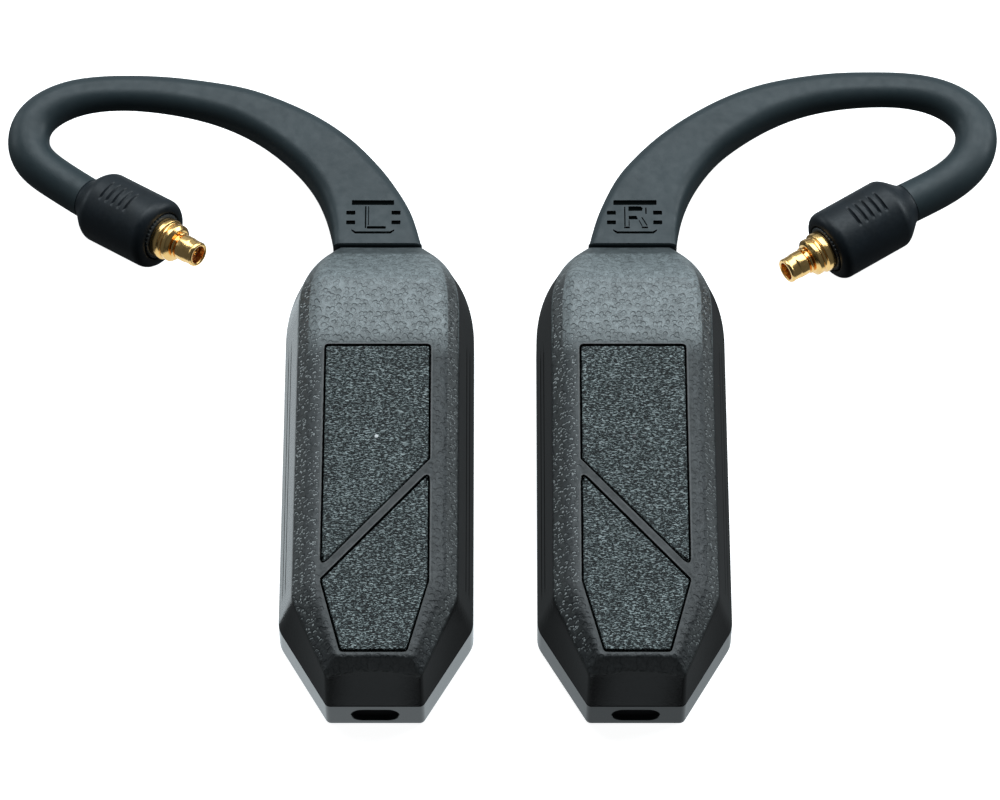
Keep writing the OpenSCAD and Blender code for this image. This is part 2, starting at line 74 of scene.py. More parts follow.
POD_LEN = 48.0
POD_H = 11.0
SPLIT_Z = 3.9
SEAM = 0.035
WALL = 0.9
SHOULDER_Y = 38.6
SHOULDER_IN = 3.4 / 9
FOLD_R = 1.1
PANEL_HW = 5.0
PANEL_TOP_Y = 34.3
PANEL_LOW_Y = 2.1
PANEL_GAP = 0.18
PANEL_R = 0.45
DIAGONAL_Y = 22.0
DIAGONAL_DROP = 11.4
BAR_Y = 1.2
RECESS_D = 0.5
LIGHT_Y = 24.4
LIGHT_R = 0.2
PORT_W, PORT_H, PORT_Z = 4.4, 2.1, 2.1
PAD_R, PAD_X, PAD_Y = 0.9, 2.0, 22.0
TONGUE_X, TONGUE_Z, TONGUE_W, TONGUE_H = -0.3, 3.7, 4.6, 2.2

# A level of the body: height, height at the neck, y where it starts to fall, half width, half
# width and y of the port end, its bow, y of the taper corner, half width at the neck.
Level = namedtuple("Level", "z neck_z fall_y hw end_hw end_y bow taper_y neck_hw")
BACK = Level(0.0, 0.8, 44, 8.65, 4.1, 0.35, 0, 8.1, 3.7)
FOOT = Level(0.35, 1.3, 44, 9.0, 4.4, 0.0, 0, 7.9, 4.3)
EDGE = Level(3.8, 3.8, 44, 9.0, 4.4, 0.0, 0, 7.9, 4.4)
CREASE = Level(9.2, 5.4, 41, 7.6, 4.4, 0.45, 0.55, 8.3, 4.25)
TOP = Level(11.0, 6.1, 42, 5.9, 3.5, 1.5, 0, 8.9, 3.9)
TOP_IN = Level(11.0, 6.1, 42, 5.2, 3.2, 1.9, 0, 9.1, 3.1)

# Samples along one side and its stretches, across an end, how many of them the inner surface
# skips, and rows at a rounded turn.
SIDE_N = 304
CORNER_N, TAPER_N, BEND_N, STRAIGHT_N = 12, 44, 16, 160
END_N = 64
COARSE = 8
TURN_ROWS = 5

# Two fine grooves along each side wall: where, from the edge to the crease, and their section.
GROOVES = (0.29, 0.49)
GROOVE_ROWS = ((-0.03, 0), (-0.022, 0), (-0.006, 0.09), (0.006, 0.09), (0.022, 0), (0.03, 0))

# Pits of the front's texture, in cells per metre.
PIT_SCALE = 1600


# ---------------------------------------------------------------- small helpers

stack = np.column_stack


def unit(vectors):
    return vectors / np.maximum(1e-9, np.linalg.norm(vectors, axis=-1, keepdims=True))


def pod_frame(side):
    """Middle of the pod's width and its port end, in metres, and 1 or -1 for its x."""
    low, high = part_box(side + "_back_shell")
    return (low.x + high.x) / 2, low.y, 1 if side == "left" else -1


def place(side, points):
    """Points in the pod's own frame, in mm, set down in the shared frame."""
    centre_x, end_y, turn = pod_frame(side)
    out = np.asarray(points, float) * MM
    return stack((centre_x + turn * out[:, 0], end_y + out[:, 1], out[:, 2]))


def smoothstep(low, high, value):
    t = np.clip((value - low) / (high - low), 0, 1)
    return t * t * (3 - 2 * t)


def add_object(name, data):
    obj = bpy.data.objects.new(name, data)
    bpy.context.scene.collection.objects.link(obj)
    return obj


def make_mesh(name, side, points, faces):
    """Closed solid from points in the pod's own frame, with its faces pointing outwards."""
    mesh = bpy.data.meshes.new(name)
    mesh.from_pydata(place(side, points).tolist(), [], [tuple(map(int, f)) for f in faces])
    mesh.validate()
    bm = bmesh.new()
    bm.from_mesh(mesh)
    if bm.calc_volume(signed=True) < 0:
        bmesh.ops.reverse_faces(bm, faces=bm.faces)
        bm.to_mesh(mesh)
    bm.free()
    mesh.update()
    for poly in mesh.polygons:
        poly.use_smooth = True
    return add_object(name, mesh)


def grid_faces(rows, columns, start=0):
    """Quads between closed rows of points."""
    out = []
    for r in range(rows - 1):
        for c in range(columns):
            a = start + r * columns + c
            b = start + r * columns + (c + 1) % columns
            out.append((a, b, b + columns, a + columns))
    return out


def capped(name, side, rows):
    """Closed solid from closed rows of points, with a flat face over the first and the last."""
    n = len(rows[0])
    last = (len(rows) - 1) * n
    faces = grid_faces(len(rows), n)
    faces += [tuple(range(n))[::-1], tuple(range(last, last + n))]
    return make_mesh(name, side, np.vstack(rows), faces)


def dress(obj, side, body, slot, node, look=None, sharp=None):
    """Material, body, record slot and the CAD node that this piece stands for; with sharp,
    hard edges above that angle."""
    if sharp:
        for poly in obj.data.polygons:
            poly.use_smooth = True
        obj.data.set_sharp_from_angle(angle=math.radians(sharp))
    obj.data.materials.clear()
    obj.data.materials.append(look or MATERIALS[slot])
    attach(obj, f"{side}_{body}")
    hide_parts(f"{side}_{node}")
    return obj


# ---------------------------------------------------------------- node helpers

class Tree:
    """Short calls for building a node tree."""

    def __init__(self, tree):
        self.tree = tree

    def feed(self, socket, item):
        """Links a socket to another one, or sets its number, colour or vector."""
        if isinstance(item, bpy.types.NodeSocket):
            self.tree.links.new(item, socket)
        elif socket.type == "RGBA":
            socket.default_value = (*item, 1)
        else:
            socket.default_value = item

    def add(self, kind, **values):
        node = self.tree.nodes.new(kind)
        for key, value in values.items():
            if hasattr(node, key):
                setattr(node, key, value)
            else:
                self.feed(node.inputs[key], value)
        return node

    def maths(self, operation, *items, kind="ShaderNodeMath"):
        node = self.add(kind, operation=operation)
        for socket, item in zip(node.inputs, items):
            self.feed(socket, item)
        return node.outputs[0]

    def times(self, a, b):
        return self.maths("MULTIPLY", a, b)


class Nodes(Tree):
    """One material's node tree around its Principled shader."""

    def __init__(self, name):
        self.material = bpy.data.materials.new(name)
        self.material.use_nodes = True
        super().__init__(self.material.node_tree)
        self.shader = self.tree.nodes["Principled BSDF"]
        self.place = self.add("ShaderNodeTexCoord").outputs["Object"]

    def noise(self, scale, detail=3.0, roughness=0.55):
        return self.add("ShaderNodeTexNoise", Vector=self.place, Scale=scale, Detail=detail,
                        Roughness=roughness).outputs["Fac"]

    def clouds(self, scale, detail, low, high, roughness=0.55):
        """Noise between two greys or colours."""
        return self.ramp(self.noise(scale, detail, roughness), (0.3, low), (0.7, high))

    def cells(self, scale, randomness):
        """Flat cells seen from above: distance from each cell's middle, in cells, and how far
        that way points to +Y, from -1 to 1."""
        vector = "ShaderNodeVectorMath"
        wobble = self.add("ShaderNodeTexNoise", Vector=self.place, Scale=scale * 1.3, Detail=1.0)
        bent = self.maths("MULTIPLY_ADD", wobble.outputs["Color"], (0.55 / scale,) * 3, self.place,
                          kind=vector)
        node = self.add("ShaderNodeTexVoronoi", voronoi_dimensions="2D", Vector=bent, Scale=scale,
                        Randomness=randomness)
        away = self.maths("SUBTRACT", bent, node.outputs["Position"], kind=vector)
        parts = self.add("ShaderNodeSeparateXYZ", Vector=away)
        distance = node.outputs["Distance"]
        return distance, self.maths("DIVIDE", self.times(parts.outputs["Y"], scale),
                                    self.maths("MAXIMUM", distance, 0.05))

    def ramp(self, source, *stops):
        """Colour ramp; each stop is (position, grey or colour)."""
        node = self.add("ShaderNodeValToRGB", Fac=source)
        elements = node.color_ramp.elements
        while len(elements) < len(stops):
            elements.new(1.0)
        for element, (position, colour) in zip(elements, stops):
            element.position = position
            grey = isinstance(colour, (int, float))
            element.color = (colour, colour, colour, 1) if grey else (*colour, 1)
        return node.outputs["Color"]

    def mix(self, factor, a, b, blend="MIX"):
        node = self.add("ShaderNodeMix", data_type="RGBA", blend_type=blend)
        for index, item in ((0, factor), (6, a), (7, b)):
            self.feed(node.inputs[index], item)
        return node.outputs[2]

    def bump(self, height, strength, distance, **normal):
        return self.add("ShaderNodeBump", Height=height, Strength=strength, Distance=distance,
                        **normal).outputs["Normal"]

    def attribute(self, name):
        return self.add("ShaderNodeAttribute", attribute_name=name).outputs["Fac"]

    def finish(self, colour, roughness, normal=None, **values):
        """The material, with what its colour, roughness and normal come from and other
        values of its shader."""
        values.update(Base_Color=colour, Roughness=roughness)
        if normal is not None:
            values["Normal"] = normal
        for socket, value in values.items():
            self.feed(self.shader.inputs[socket.replace("_", " ")], value)
        return self.material


def rubber_material():
    """Soft rubber of the hooks."""
    n = Nodes("hook_rubber")
    return n.finish(n.clouds(160, 4, (0.018, 0.029, 0.034), (0.025, 0.039, 0.045)),
                    n.clouds(1200, 3, 0.42, 0.54), n.bump(n.noise(7000, 3), 0.1, 0.00004), IOR=1.45)


def front_material():
    """Smoked plastic of the front shell, with painted light, painted shade in its pits and
    painted highlights. Attributes from 0 to 1 say where it is textured (pebbled), has round
    pits (pits) or bright painted glints (specks), slopes (bevel) and is the diagonal bar (bar)."""
    n = Nodes("smoked_front")
    split = n.add("ShaderNodeSeparateXYZ", Vector=n.place)
    along = n.maths("DIVIDE", n.maths("SUBTRACT", split.outputs["Y"], cad_low.y), POD_LEN * MM)
    pits, painted_glints, mask = n.attribute("pits"), n.attribute("painted_glints"), n.attribute("pebbled")

    # Tone, painted light: far lighter from about 0.7 to 0.9 of the length, where the lamp behind
    # lights the hook end; darker towards the port end and again in the last strip by the hook.
    tone = n.ramp(along, (0.0, (0.030, 0.032, 0.033)), (0.3, (0.034, 0.037, 0.039)),
                  (0.69, (0.042, 0.047, 0.049)), (0.75, (0.200, 0.222, 0.226)),
                  (0.88, (0.200, 0.224, 0.230)), (0.965, (0.150, 0.170, 0.175)),
                  (0.975, (0.060, 0.070, 0.073)))
    # The slopes keep a dark tone, so the painted light lies on the top face.
    tone = n.mix(n.attribute("bevel"), tone, (0.040, 0.043, 0.043))
    tone = n.mix(n.attribute("bar"), tone, (0.022, 0.024, 0.025))
    mottled = n.mix(1.0, tone, n.clouds(1500, 4, 0.62, 1.3, 0.65), "MULTIPLY")

    # Painted shade in the pits: each rim is painted dark as an arc, darkest on the side away from
    # the port end, where the pit's wall faces away from the lamp behind; small cells add thin dark
    # rings.
    large, upward = n.cells(PIT_SCALE, 0.85)
    small, _ = n.cells(PIT_SCALE * 1.55, 1.0)
    facing = n.maths("ADD", n.times(upward, 0.5), 0.5)
    arc = n.times(n.ramp(large, (0.24, 0.0), (0.31, 1.0), (0.36, 1.0), (0.43, 0.0)),
                  n.ramp(facing, (0.3, 0.42), (0.75, 1.0)))
    fine = n.ramp(small, (0.22, 0.0), (0.3, 0.75), (0.38, 0.0))
    dark = n.times(n.maths("MAXIMUM", arc, fine), n.times(pits, 0.85))
    shaded_pits = n.mix(dark, mottled, (0.006, 0.008, 0.009))

    # Painted highlights: bright glints as short arcs inside the pits, and bright dots in patches.
    glints = n.times(n.ramp(large, (0.16, 0.0), (0.21, 1.0), (0.26, 1.0), (0.31, 0.0)),
                     n.ramp(facing, (0.6, 0.0), (0.85, 1.0)))
    dots = n.times(n.ramp(small, (0.12, 1.0), (0.2, 0.0)),
                   n.ramp(n.noise(1100, 2), (0.46, 0.0), (0.54, 0.9)))
    bright = n.times(n.maths("MAXIMUM", glints, dots), n.times(painted_glints, 0.85))
    glinted = n.mix(bright, shaded_pits, (0.55, 0.58, 0.58))
    polished = n.clouds(260, 4, (0.0085, 0.0080, 0.0078), (0.0145, 0.0140, 0.0140), 0.6)

    worn = n.ramp(along, (0.0, 0.5), (0.69, 0.58), (0.76, 0.36), (1.0, 0.38))
    rough = n.mix(1.0, worn, n.clouds(2600, 2, 0.85, 1.15), "MULTIPLY")
    bowl = n.maths("ADD", n.ramp(large, (0.24, 0.0), (0.42, 1.0)),
                   n.times(n.ramp(small, (0.2, 0.0), (0.34, 1.0)), 0.45))
    relief = n.times(bowl, n.maths("MAXIMUM", pits, n.times(painted_glints, 0.6)))
    grain = n.bump(n.noise(5200, 3), 0.5, 0.00004)
    return n.finish(n.mix(mask, polished, glinted), n.mix(mask, (0.14, 0.14, 0.14), rough),
                    n.bump(relief, 1.0, 0.00003, Normal=grain), IOR=1.5)


def back_material():
    """Polished smoked plastic of the back shell."""
    n = Nodes("smoked_shell")
    return n.finish(n.clouds(260, 4, (0.016, 0.017, 0.018), (0.026, 0.028, 0.029), 0.6),
                    n.clouds(900, 2, 0.12, 0.18), n.bump(n.noise(700, 2), 0.03, 0.00005), IOR=1.5)


def panel_material():
    """Moulded leather grain: fine wavy ridges, with painted highlights on top of them and painted
    shade between them.
    """
    n = Nodes("grained_panel")
    stretched = n.add("ShaderNodeMapping", Vector=n.place, Scale=(0.62, 1.75, 1.0))
    grain = n.add("ShaderNodeTexNoise", Vector=stretched.outputs["Vector"], Scale=6000, Detail=1.5,
                  Roughness=0.5, Distortion=0.9).outputs["Fac"]
    # Painted highlights and shade: the grain's ridges are painted light and its valleys near black.
    tone = n.ramp(grain, (0.42, (0.001, 0.002, 0.002)), (0.49, (0.010, 0.015, 0.016)),
                  (0.55, (0.053, 0.071, 0.073)), (0.61, (0.28, 0.33, 0.33)))
    return n.finish(n.mix(1.0, tone, n.clouds(500, 3, 0.85, 1.15), "MULTIPLY"),
                    n.ramp(grain, (0.42, 0.75), (0.6, 0.34)),
                    n.bump(n.ramp(grain, (0.38, 0.0), (0.62, 1.0)), 1.0, 0.00007), IOR=1.5)


def plain_plastic(name, tone, rough=0.4, scale=2500, strength=0.1, specular=0.5):
    """Moulded plastic: faint clouds of tone, uneven gloss and a fine grain."""
    n = Nodes(name)
    dark = tuple(c * 0.8 for c in tone)
    light = tuple(min(1.0, c * 1.2) for c in tone)
    return n.finish(n.clouds(scale * 0.2, 3, dark, light),
                    n.clouds(scale, 2, rough - 0.06, rough + 0.08),
                    n.bump(n.noise(scale * 2, 2), strength, 0.00003), Specular_IOR_Level=specular)


def metal(name, tone, rough=0.16, scale=1500, dark=0.72):
    """Plated metal with clouds of tone, uneven gloss and a faint grain."""
    n = Nodes(name)
    return n.finish(n.ramp(n.noise(scale, 4), (0.25, tuple(c * dark for c in tone)), (0.65, tone)),
                    n.ramp(n.noise(scale * 2, 3), (0.3, rough * 0.85), (0.75, rough * 1.3)),
                    n.bump(n.noise(scale * 5, 2), 0.02, 0.00002), Metallic=1.0)


def light_material(name, tone, glow):
    """Clear lens of the indicator light, lit when glow is above 0."""
    n = Nodes(name)
    lit = {"Emission_Color": tone, "Emission_Strength": glow} if glow else {}
    return n.finish(n.clouds(3000, 2, tuple(c * 0.9 for c in tone), tone),
                    n.clouds(5000, 2, 0.18, 0.3), **lit)


MATERIALS = {
    "hook_rubber": rubber_material(),
    "smoked_front": front_material(),
    "smoked_shell": back_material(),
    "grained_panel": panel_material(),
}
for name, *look in (
        ("hard_black", (0.050, 0.055, 0.058), 0.3), ("board", (0.02, 0.10, 0.05), 0.35),
        ("chip", (0.02, 0.02, 0.022), 0.5), ("ceramic", (0.65, 0.6, 0.5), 0.3),
        ("led", (0.85, 0.85, 0.8), 0.3), ("mesh_black", (0.008, 0.008, 0.009), 0.6, 6000, 0.6),
        ("cable_red", (0.3, 0.04, 0.03), 0.4), ("insulator", (0.45, 0.13, 0.03), 0.35)):
    MATERIALS[name] = plain_plastic(name, *look)
for name, *look in (
        ("gold", (1.0, 0.63, 0.24), 0.2, 1500, 0.9), ("battery_foil", (0.55, 0.57, 0.6), 0.3, 500),
        ("can", (0.7, 0.7, 0.68), 0.3), ("magnet", (0.62, 0.63, 0.65), 0.2),
        ("copper_film", (0.75, 0.42, 0.2), 0.25, 600)):
    MATERIALS[name] = metal(name, *look)
LIGHT_ON = light_material("light_on", (0.48, 0.50, 0.51), 0.3)
# Near-black painted shade for the floors and walls of recesses.
RECESS_SHADE = plain_plastic("recess_shade", (0.003, 0.004, 0.004), 0.7, specular=0.0)
HOUSING = plain_plastic("housing_rubber", (0.008, 0.012, 0.016), 0.42, 3000, 0.08, 0.32)
LIGHT_OFF = light_material("light_off", (0.012, 0.012, 0.014), 0)


# ---------------------------------------------------------------- pod body surfaces

def fillet(corner, before, after, radius, count):
    """Arc-like points that round a corner of an outline."""
    a = corner + unit(before - corner) * radius
    b = corner + unit(after - corner) * radius
    t = np.linspace(0, 1, count)[:, None]
    return a * (1 - t) ** 2 + corner * 2 * t * (1 - t) + b * t ** 2


def run_along(points):
    """How far each point of a polyline lies from its start."""
    return np.concatenate(([0], np.cumsum(np.linalg.norm(np.diff(points, axis=0), axis=1))))


def resample(points, count):
    """Points evenly spaced along a polyline."""
    run = run_along(points)
    at = np.linspace(0, run[-1], count)
    return stack([np.interp(at, run, column) for column in points.T])


def side_outline(level, neck_y):
    """Right side of a level from its port-end corner to its neck corner, SIDE_N + 1 points.
    Every level is sampled piece by piece, so that its corners line up with the next level's."""
    centre = SHOULDER_IN * level.hw
    reach = level.hw - centre
    turn = math.acos((level.neck_hw - centre) / reach)
    end = np.array([level.end_hw, level.end_y])
    taper = np.array([level.hw, level.taper_y])
    shoulder = np.array([level.hw, SHOULDER_Y])
    t = np.linspace(0, turn, 160)
    arc = stack((centre + reach * np.cos(t),
                 SHOULDER_Y + (neck_y - SHOULDER_Y) * np.sin(t) / math.sin(turn)))
    corner = fillet(taper, end, shoulder, 0.7, BEND_N + 1)
    start_corner = fillet(end, np.array([0, level.end_y]), taper, 0.35, CORNER_N + 1)
    stretches = ((start_corner, CORNER_N), (np.vstack((start_corner[-1], corner[0])), TAPER_N),
                 (corner, BEND_N), (np.vstack((corner[-1], shoulder)), STRAIGHT_N))
    pieces = [resample(points, count + 1)[:-1] for points, count in stretches]
    rest = SIDE_N - CORNER_N - TAPER_N - BEND_N - STRAIGHT_N
    return np.vstack(pieces + [resample(arc, rest + 1)])


def level_height(level, y):
    """Height of a level, with a soft fold where it starts to fall to the neck."""
    slope = (level.neck_z - level.z) / (POD_LEN - level.fall_y)
    past = y - level.fall_y
    fold = np.clip(past + FOLD_R, 0, 2 * FOLD_R) ** 2 / (4 * FOLD_R)
    return level.z + slope * np.where(past > FOLD_R, past, fold)


def ring(level, neck_y=POD_LEN):
    """Closed ring of points: port end from left to right, right side, neck, left side."""
    right = side_outline(level, neck_y)
    x = np.linspace(-right[0, 0], right[0, 0], END_N + 1)
    end = stack((x, right[0, 1] + level.bow * (1 - (x / right[0, 0]) ** 2)))
    neck_x = np.linspace(right[-1, 0], -right[-1, 0], END_N + 1)
    neck = stack((neck_x, np.full(END_N + 1, right[-1, 1])))
    left = right[::-1] * (-1, 1)
    flat = np.vstack((end[:-1], right[:-1], neck[:-1], left[:-1]))
    return stack((flat, level_height(level, flat[:, 1])))


def inner_ring(level, drop):
    """Coarse ring of the inner surface: one wall inside a level and a drop below it."""
    inset = Level(level.z - drop, level.neck_z - drop, level.fall_y - 1, level.hw - WALL,
                  level.end_hw - 0.5, level.end_y + WALL, 0, level.taper_y + 0.3,
                  level.neck_hw - WALL)
    return ring(inset, POD_LEN - WALL)[::COARSE]


def cap_grid(loop, side_n, end_n):
    """Grid of points across a ring, (side_n + 1) rows of (end_n + 1); its border is the ring."""
    right = loop[end_n:end_n + side_n + 1]
    left_start = 2 * end_n + side_n
    left = np.vstack((loop[left_start:], loop[:1]))[::-1]
    t = np.linspace(0, 1, end_n + 1)[None, :, None]
    grid = left[:, None, :] * (1 - t) + right[:, None, :] * t
    grid[0] = loop[:end_n + 1]
    grid[-1] = loop[end_n + side_n:left_start + 1][::-1]
    return grid


def rounded_rows(levels, cuts, counts):
    """Rows of points over stacked rings, with a rounded turn at each inner ring.
    cuts holds the rounding length at each inner ring; counts the rows between turns."""
    rows, last = [], levels[0]
    for k, steps in enumerate(counts, 1):
        here = stop = levels[k]
        turn = []
        if k < len(levels) - 1:
            back, fore = levels[k - 1] - here, levels[k + 1] - here
            back_len = np.linalg.norm(back, axis=1)[:, None]
            fore_len = np.linalg.norm(fore, axis=1)[:, None]
            most = 0.9 if k == len(levels) - 2 else 0.45
            reach = np.minimum(cuts[k - 1], np.minimum(back_len * 0.45, fore_len * most))
            stop = here + back / back_len * reach
            leave = here + fore / fore_len * reach
            turn = [stop * (1 - t) ** 2 + here * 2 * t * (1 - t) + leave * t ** 2
                    for t in np.arange(TURN_ROWS) / TURN_ROWS]
        rows += [last + (stop - last) * (s / steps) for s in range(steps)] + turn
        last = leave
    return rows + [levels[-1]]


def at_height(low, high, z):
    """Ring between two others where they cross a height."""
    t = ((z - low[:, 2]) / (high[:, 2] - low[:, 2]))[:, None]
    out = low + (high - low) * t
    out[:, 2] = z
    return out


def outward(loop):
    """Level unit normals of a closed ring, to the right of its way round."""
    along = np.roll(loop[:, :2], -1, axis=0) - np.roll(loop[:, :2], 1, axis=0)
    return unit(stack((along[:, 1], -along[:, 0])))


def top_softness(loop):
    """Rounding length of the front face's edge: small at the port end, large at the shoulders."""
    y = loop[:, 1]
    return (0.3 + 0.32 * smoothstep(2.5, 9, y) + 0.5 * smoothstep(34, 42, y))[:, None]


def add_cap(points, faces, loop, start, side_n, end_n, flip):
    """Cap over a ring whose own points are already in, from index start on."""
    index = np.full((side_n + 1, end_n + 1), -1)
    index[0, :] = start + np.arange(end_n + 1)
    index[:, end_n] = start + end_n + np.arange(side_n + 1)
    index[-1, ::-1] = start + end_n + side_n + np.arange(end_n + 1)
    left = (2 * end_n + side_n + np.arange(side_n + 1)) % (2 * (end_n + side_n))
    index[::-1, 0] = start + left
    fresh = index < 0
    index[fresh] = sum(map(len, points)) + np.arange(fresh.sum())
    points.append(cap_grid(loop, side_n, end_n)[fresh])
    for r in range(side_n):
        for c in range(end_n):
            quad = (index[r, c], index[r, c + 1], index[r + 1, c + 1], index[r + 1, c])
            faces.append(quad[::-1] if flip else quad)


def hollow_shell(rows, inner_rows):
    """Points and faces of a closed shell: outer rows and cap, a rim, and a coarser inner
    surface and cap. Also the number of points on the outside."""
    count = len(rows[0])
    few = count // COARSE
    points = [np.vstack(rows)]
    faces = grid_faces(len(rows), count)
    add_cap(points, faces, rows[-1], (len(rows) - 1) * count, SIDE_N, END_N, False)
    inner = sum(map(len, points))
    points.append(np.vstack(inner_rows))
    faces += [f[::-1] for f in grid_faces(len(inner_rows), few, inner)]
    add_cap(points, faces, inner_rows[-1], inner + (len(inner_rows) - 1) * few,
            SIDE_N // COARSE, END_N // COARSE, True)
    # Rim: a fan at each inner point, and a triangle between neighbouring fans.
    half = COARSE // 2
    for j in range(few):
        k = (j + 1) % few
        for s in range(COARSE):
            a = j * COARSE + s
            faces.append(((a + 1) % count, a, inner + (j if s < half else k)))
        faces.append(((j * COARSE + half) % count, inner + j, inner + k))
    return np.vstack(points), faces, inner


# ---------------------------------------------------------------- outlines of the front

def corner_rounded(vertices, radius, steps=6):
    """Closed outline with rounded corners."""
    out = []
    v = np.asarray(vertices, float)
    for i in range(len(v)):
        before, here, after = v[i - 1], v[i], v[(i + 1) % len(v)]
        cosine = np.dot(unit(before - here), unit(after - here))
        half = math.acos(np.clip(cosine, -1, 1)) / 2
        out.append(fillet(here, before, after, min(radius / math.tan(half), 1.6), steps))
    return np.vstack(out)


def rectangle(x0, y0, x1, y1):
    return [(x0, y0), (x1, y0), (x1, y1), (x0, y1)]


UPPER = [(-PANEL_HW, PANEL_TOP_Y), (-PANEL_HW, DIAGONAL_Y - DIAGONAL_DROP),
         (PANEL_HW, DIAGONAL_Y), (PANEL_HW, PANEL_TOP_Y)]
LOWER = [(-PANEL_HW, DIAGONAL_Y - BAR_Y - DIAGONAL_DROP), (-3.05, PANEL_LOW_Y),
         (3.05, PANEL_LOW_Y), (PANEL_HW, 9.3), (PANEL_HW, DIAGONAL_Y - BAR_Y)]


def signed_distance(points, outline):
    """Distance from points to an outline, negative inside."""
    v = np.asarray(outline, float)
    best = np.full(len(points), 1e9)
    inside = np.zeros(len(points), bool)
    for i in range(len(v)):
        a, b = v[i - 1], v[i]
        e = b - a
        w = points - a
        t = np.clip((w @ e) / (e @ e), 0, 1)
        best = np.minimum(best, np.linalg.norm(w - t[:, None] * e, axis=1))
        crosses = (a[1] > points[:, 1]) != (b[1] > points[:, 1])
        slope = (b[0] - a[0]) / (b[1] - a[1] if b[1] != a[1] else 1e-9)
        inside ^= crosses & (points[:, 0] < a[0] + (points[:, 1] - a[1]) * slope)
    return np.where(inside, -best, best)


def layered(name, side, layers, axis=2):
    """Closed solid from layers of (outline, distance along an axis)."""
    return capped(name, side, [np.insert(o, axis, at, axis=1) for o, at in layers])


def extruded(name, side, outline, z0, z1, chamfer=0.0, flare=0.0):
    """Solid prism with an optional chamfer at its top edge, or a flare for a cutter."""
    base = np.asarray(outline, float)
    layers = [(base, z0)]
    if chamfer:
        layers += [(base, z1 - chamfer), (grow_ring(base, -chamfer * 0.35), z1 - chamfer * 0.3),
                   (grow_ring(base, -chamfer), z1), (grow_ring(base, -chamfer - 0.03), z1)]
    elif flare:
        wide = grow_ring(base, flare)
        layers += [(base, POD_H - flare), (wide, POD_H), (wide, z1)]
    else:
        layers += [(base, z1)]
    return layered(name, side, layers)


def grow_ring(outline, amount):
    """Smooth outline moved along its own normals."""
    v = np.asarray(outline, float)
    area = np.sum(v[:, 0] * np.roll(v[:, 1], -1) - np.roll(v[:, 0], -1) * v[:, 1])
    return v + outward(v) * amount * np.sign(area)


def tube_along_y(name, side, outline_xz, y0, y1, flare=0.0):
    """Solid prism along y, with an optional flared mouth at y0."""
    base = np.asarray(outline_xz, float)
    layers = [(base, y0), (base, y1)]
    if flare:
        wide = grow_ring(base, flare)
        layers = [(wide, y0), (wide, 0.0), (base, flare * 1.2), (base, y1)]
    return layered(name, side, layers, 1)


def around(angles):
    """Points of the unit circle."""
    return stack((np.cos(angles), np.sin(angles)))


def circle(x, y, r):
    return (x, y) + r * around(np.linspace(0, 2 * math.pi, 32, endpoint=False))


def oval(w, h, cx, cz):
    right = h / 2 * around(np.linspace(-math.pi / 2, math.pi / 2, 16)) + ((w - h) / 2, 0)
    return np.vstack((right, -right)) + (cx, cz)


def cut(obj, cutters, solver="EXACT"):
    """Takes the cutters out of a solid and deletes them."""
    for cutter in cutters:
        mod = obj.modifiers.new("cut", "BOOLEAN")
        mod.operation = "DIFFERENCE"
        mod.solver = solver
        mod.object = cutter
    depsgraph = bpy.context.evaluated_depsgraph_get()
    mesh = bpy.data.meshes.new_from_object(obj.evaluated_get(depsgraph))
    old = obj.data
    obj.modifiers.clear()
    obj.data = mesh
    bpy.data.meshes.remove(old)
    for cutter in cutters:
        mesh = cutter.data
        bpy.data.objects.remove(cutter)
        bpy.data.meshes.remove(mesh)


def shade_recesses(obj, side, outlines, reach, z0, z1):
    """Second material, painted shade: near black on the faces within outlines and between two
    heights, for the shade in recesses.
    """
    obj.data.materials.append(RECESS_SHADE)
    centre_x, end_y, turn = pod_frame(side)
    count = len(obj.data.polygons)
    centres = np.zeros(count * 3)
    obj.data.polygons.foreach_get("center", centres)
    centres = centres.reshape(-1, 3)
    local = (centres - (centre_x, end_y, 0)) * (turn, 1, 1) / MM
    inside = np.zeros(count, bool)
    for outline in outlines:
        inside |= signed_distance(local[:, :2], outline) < reach
    inside &= (local[:, 2] > z0) & (local[:, 2] < z1)
    obj.data.polygons.foreach_set("material_index", inside.astype(np.int32))


def neck_cutter(side):
    """Opening in the neck for the hook's tongue."""
    w, h = TONGUE_W / 2 + 0.3, TONGUE_H / 2 + 0.2
    outline = corner_rounded((TONGUE_X, TONGUE_Z) + np.array(rectangle(-w, -h, w, h)), 0.25)
    return tube_along_y("cutter", side, outline, 44, POD_LEN + 1)


def add_attribute(obj, name, values):
    layer = obj.data.attributes.new(name, "FLOAT", "POINT")
    layer.data.foreach_set("value", np.asarray(values, np.float32))


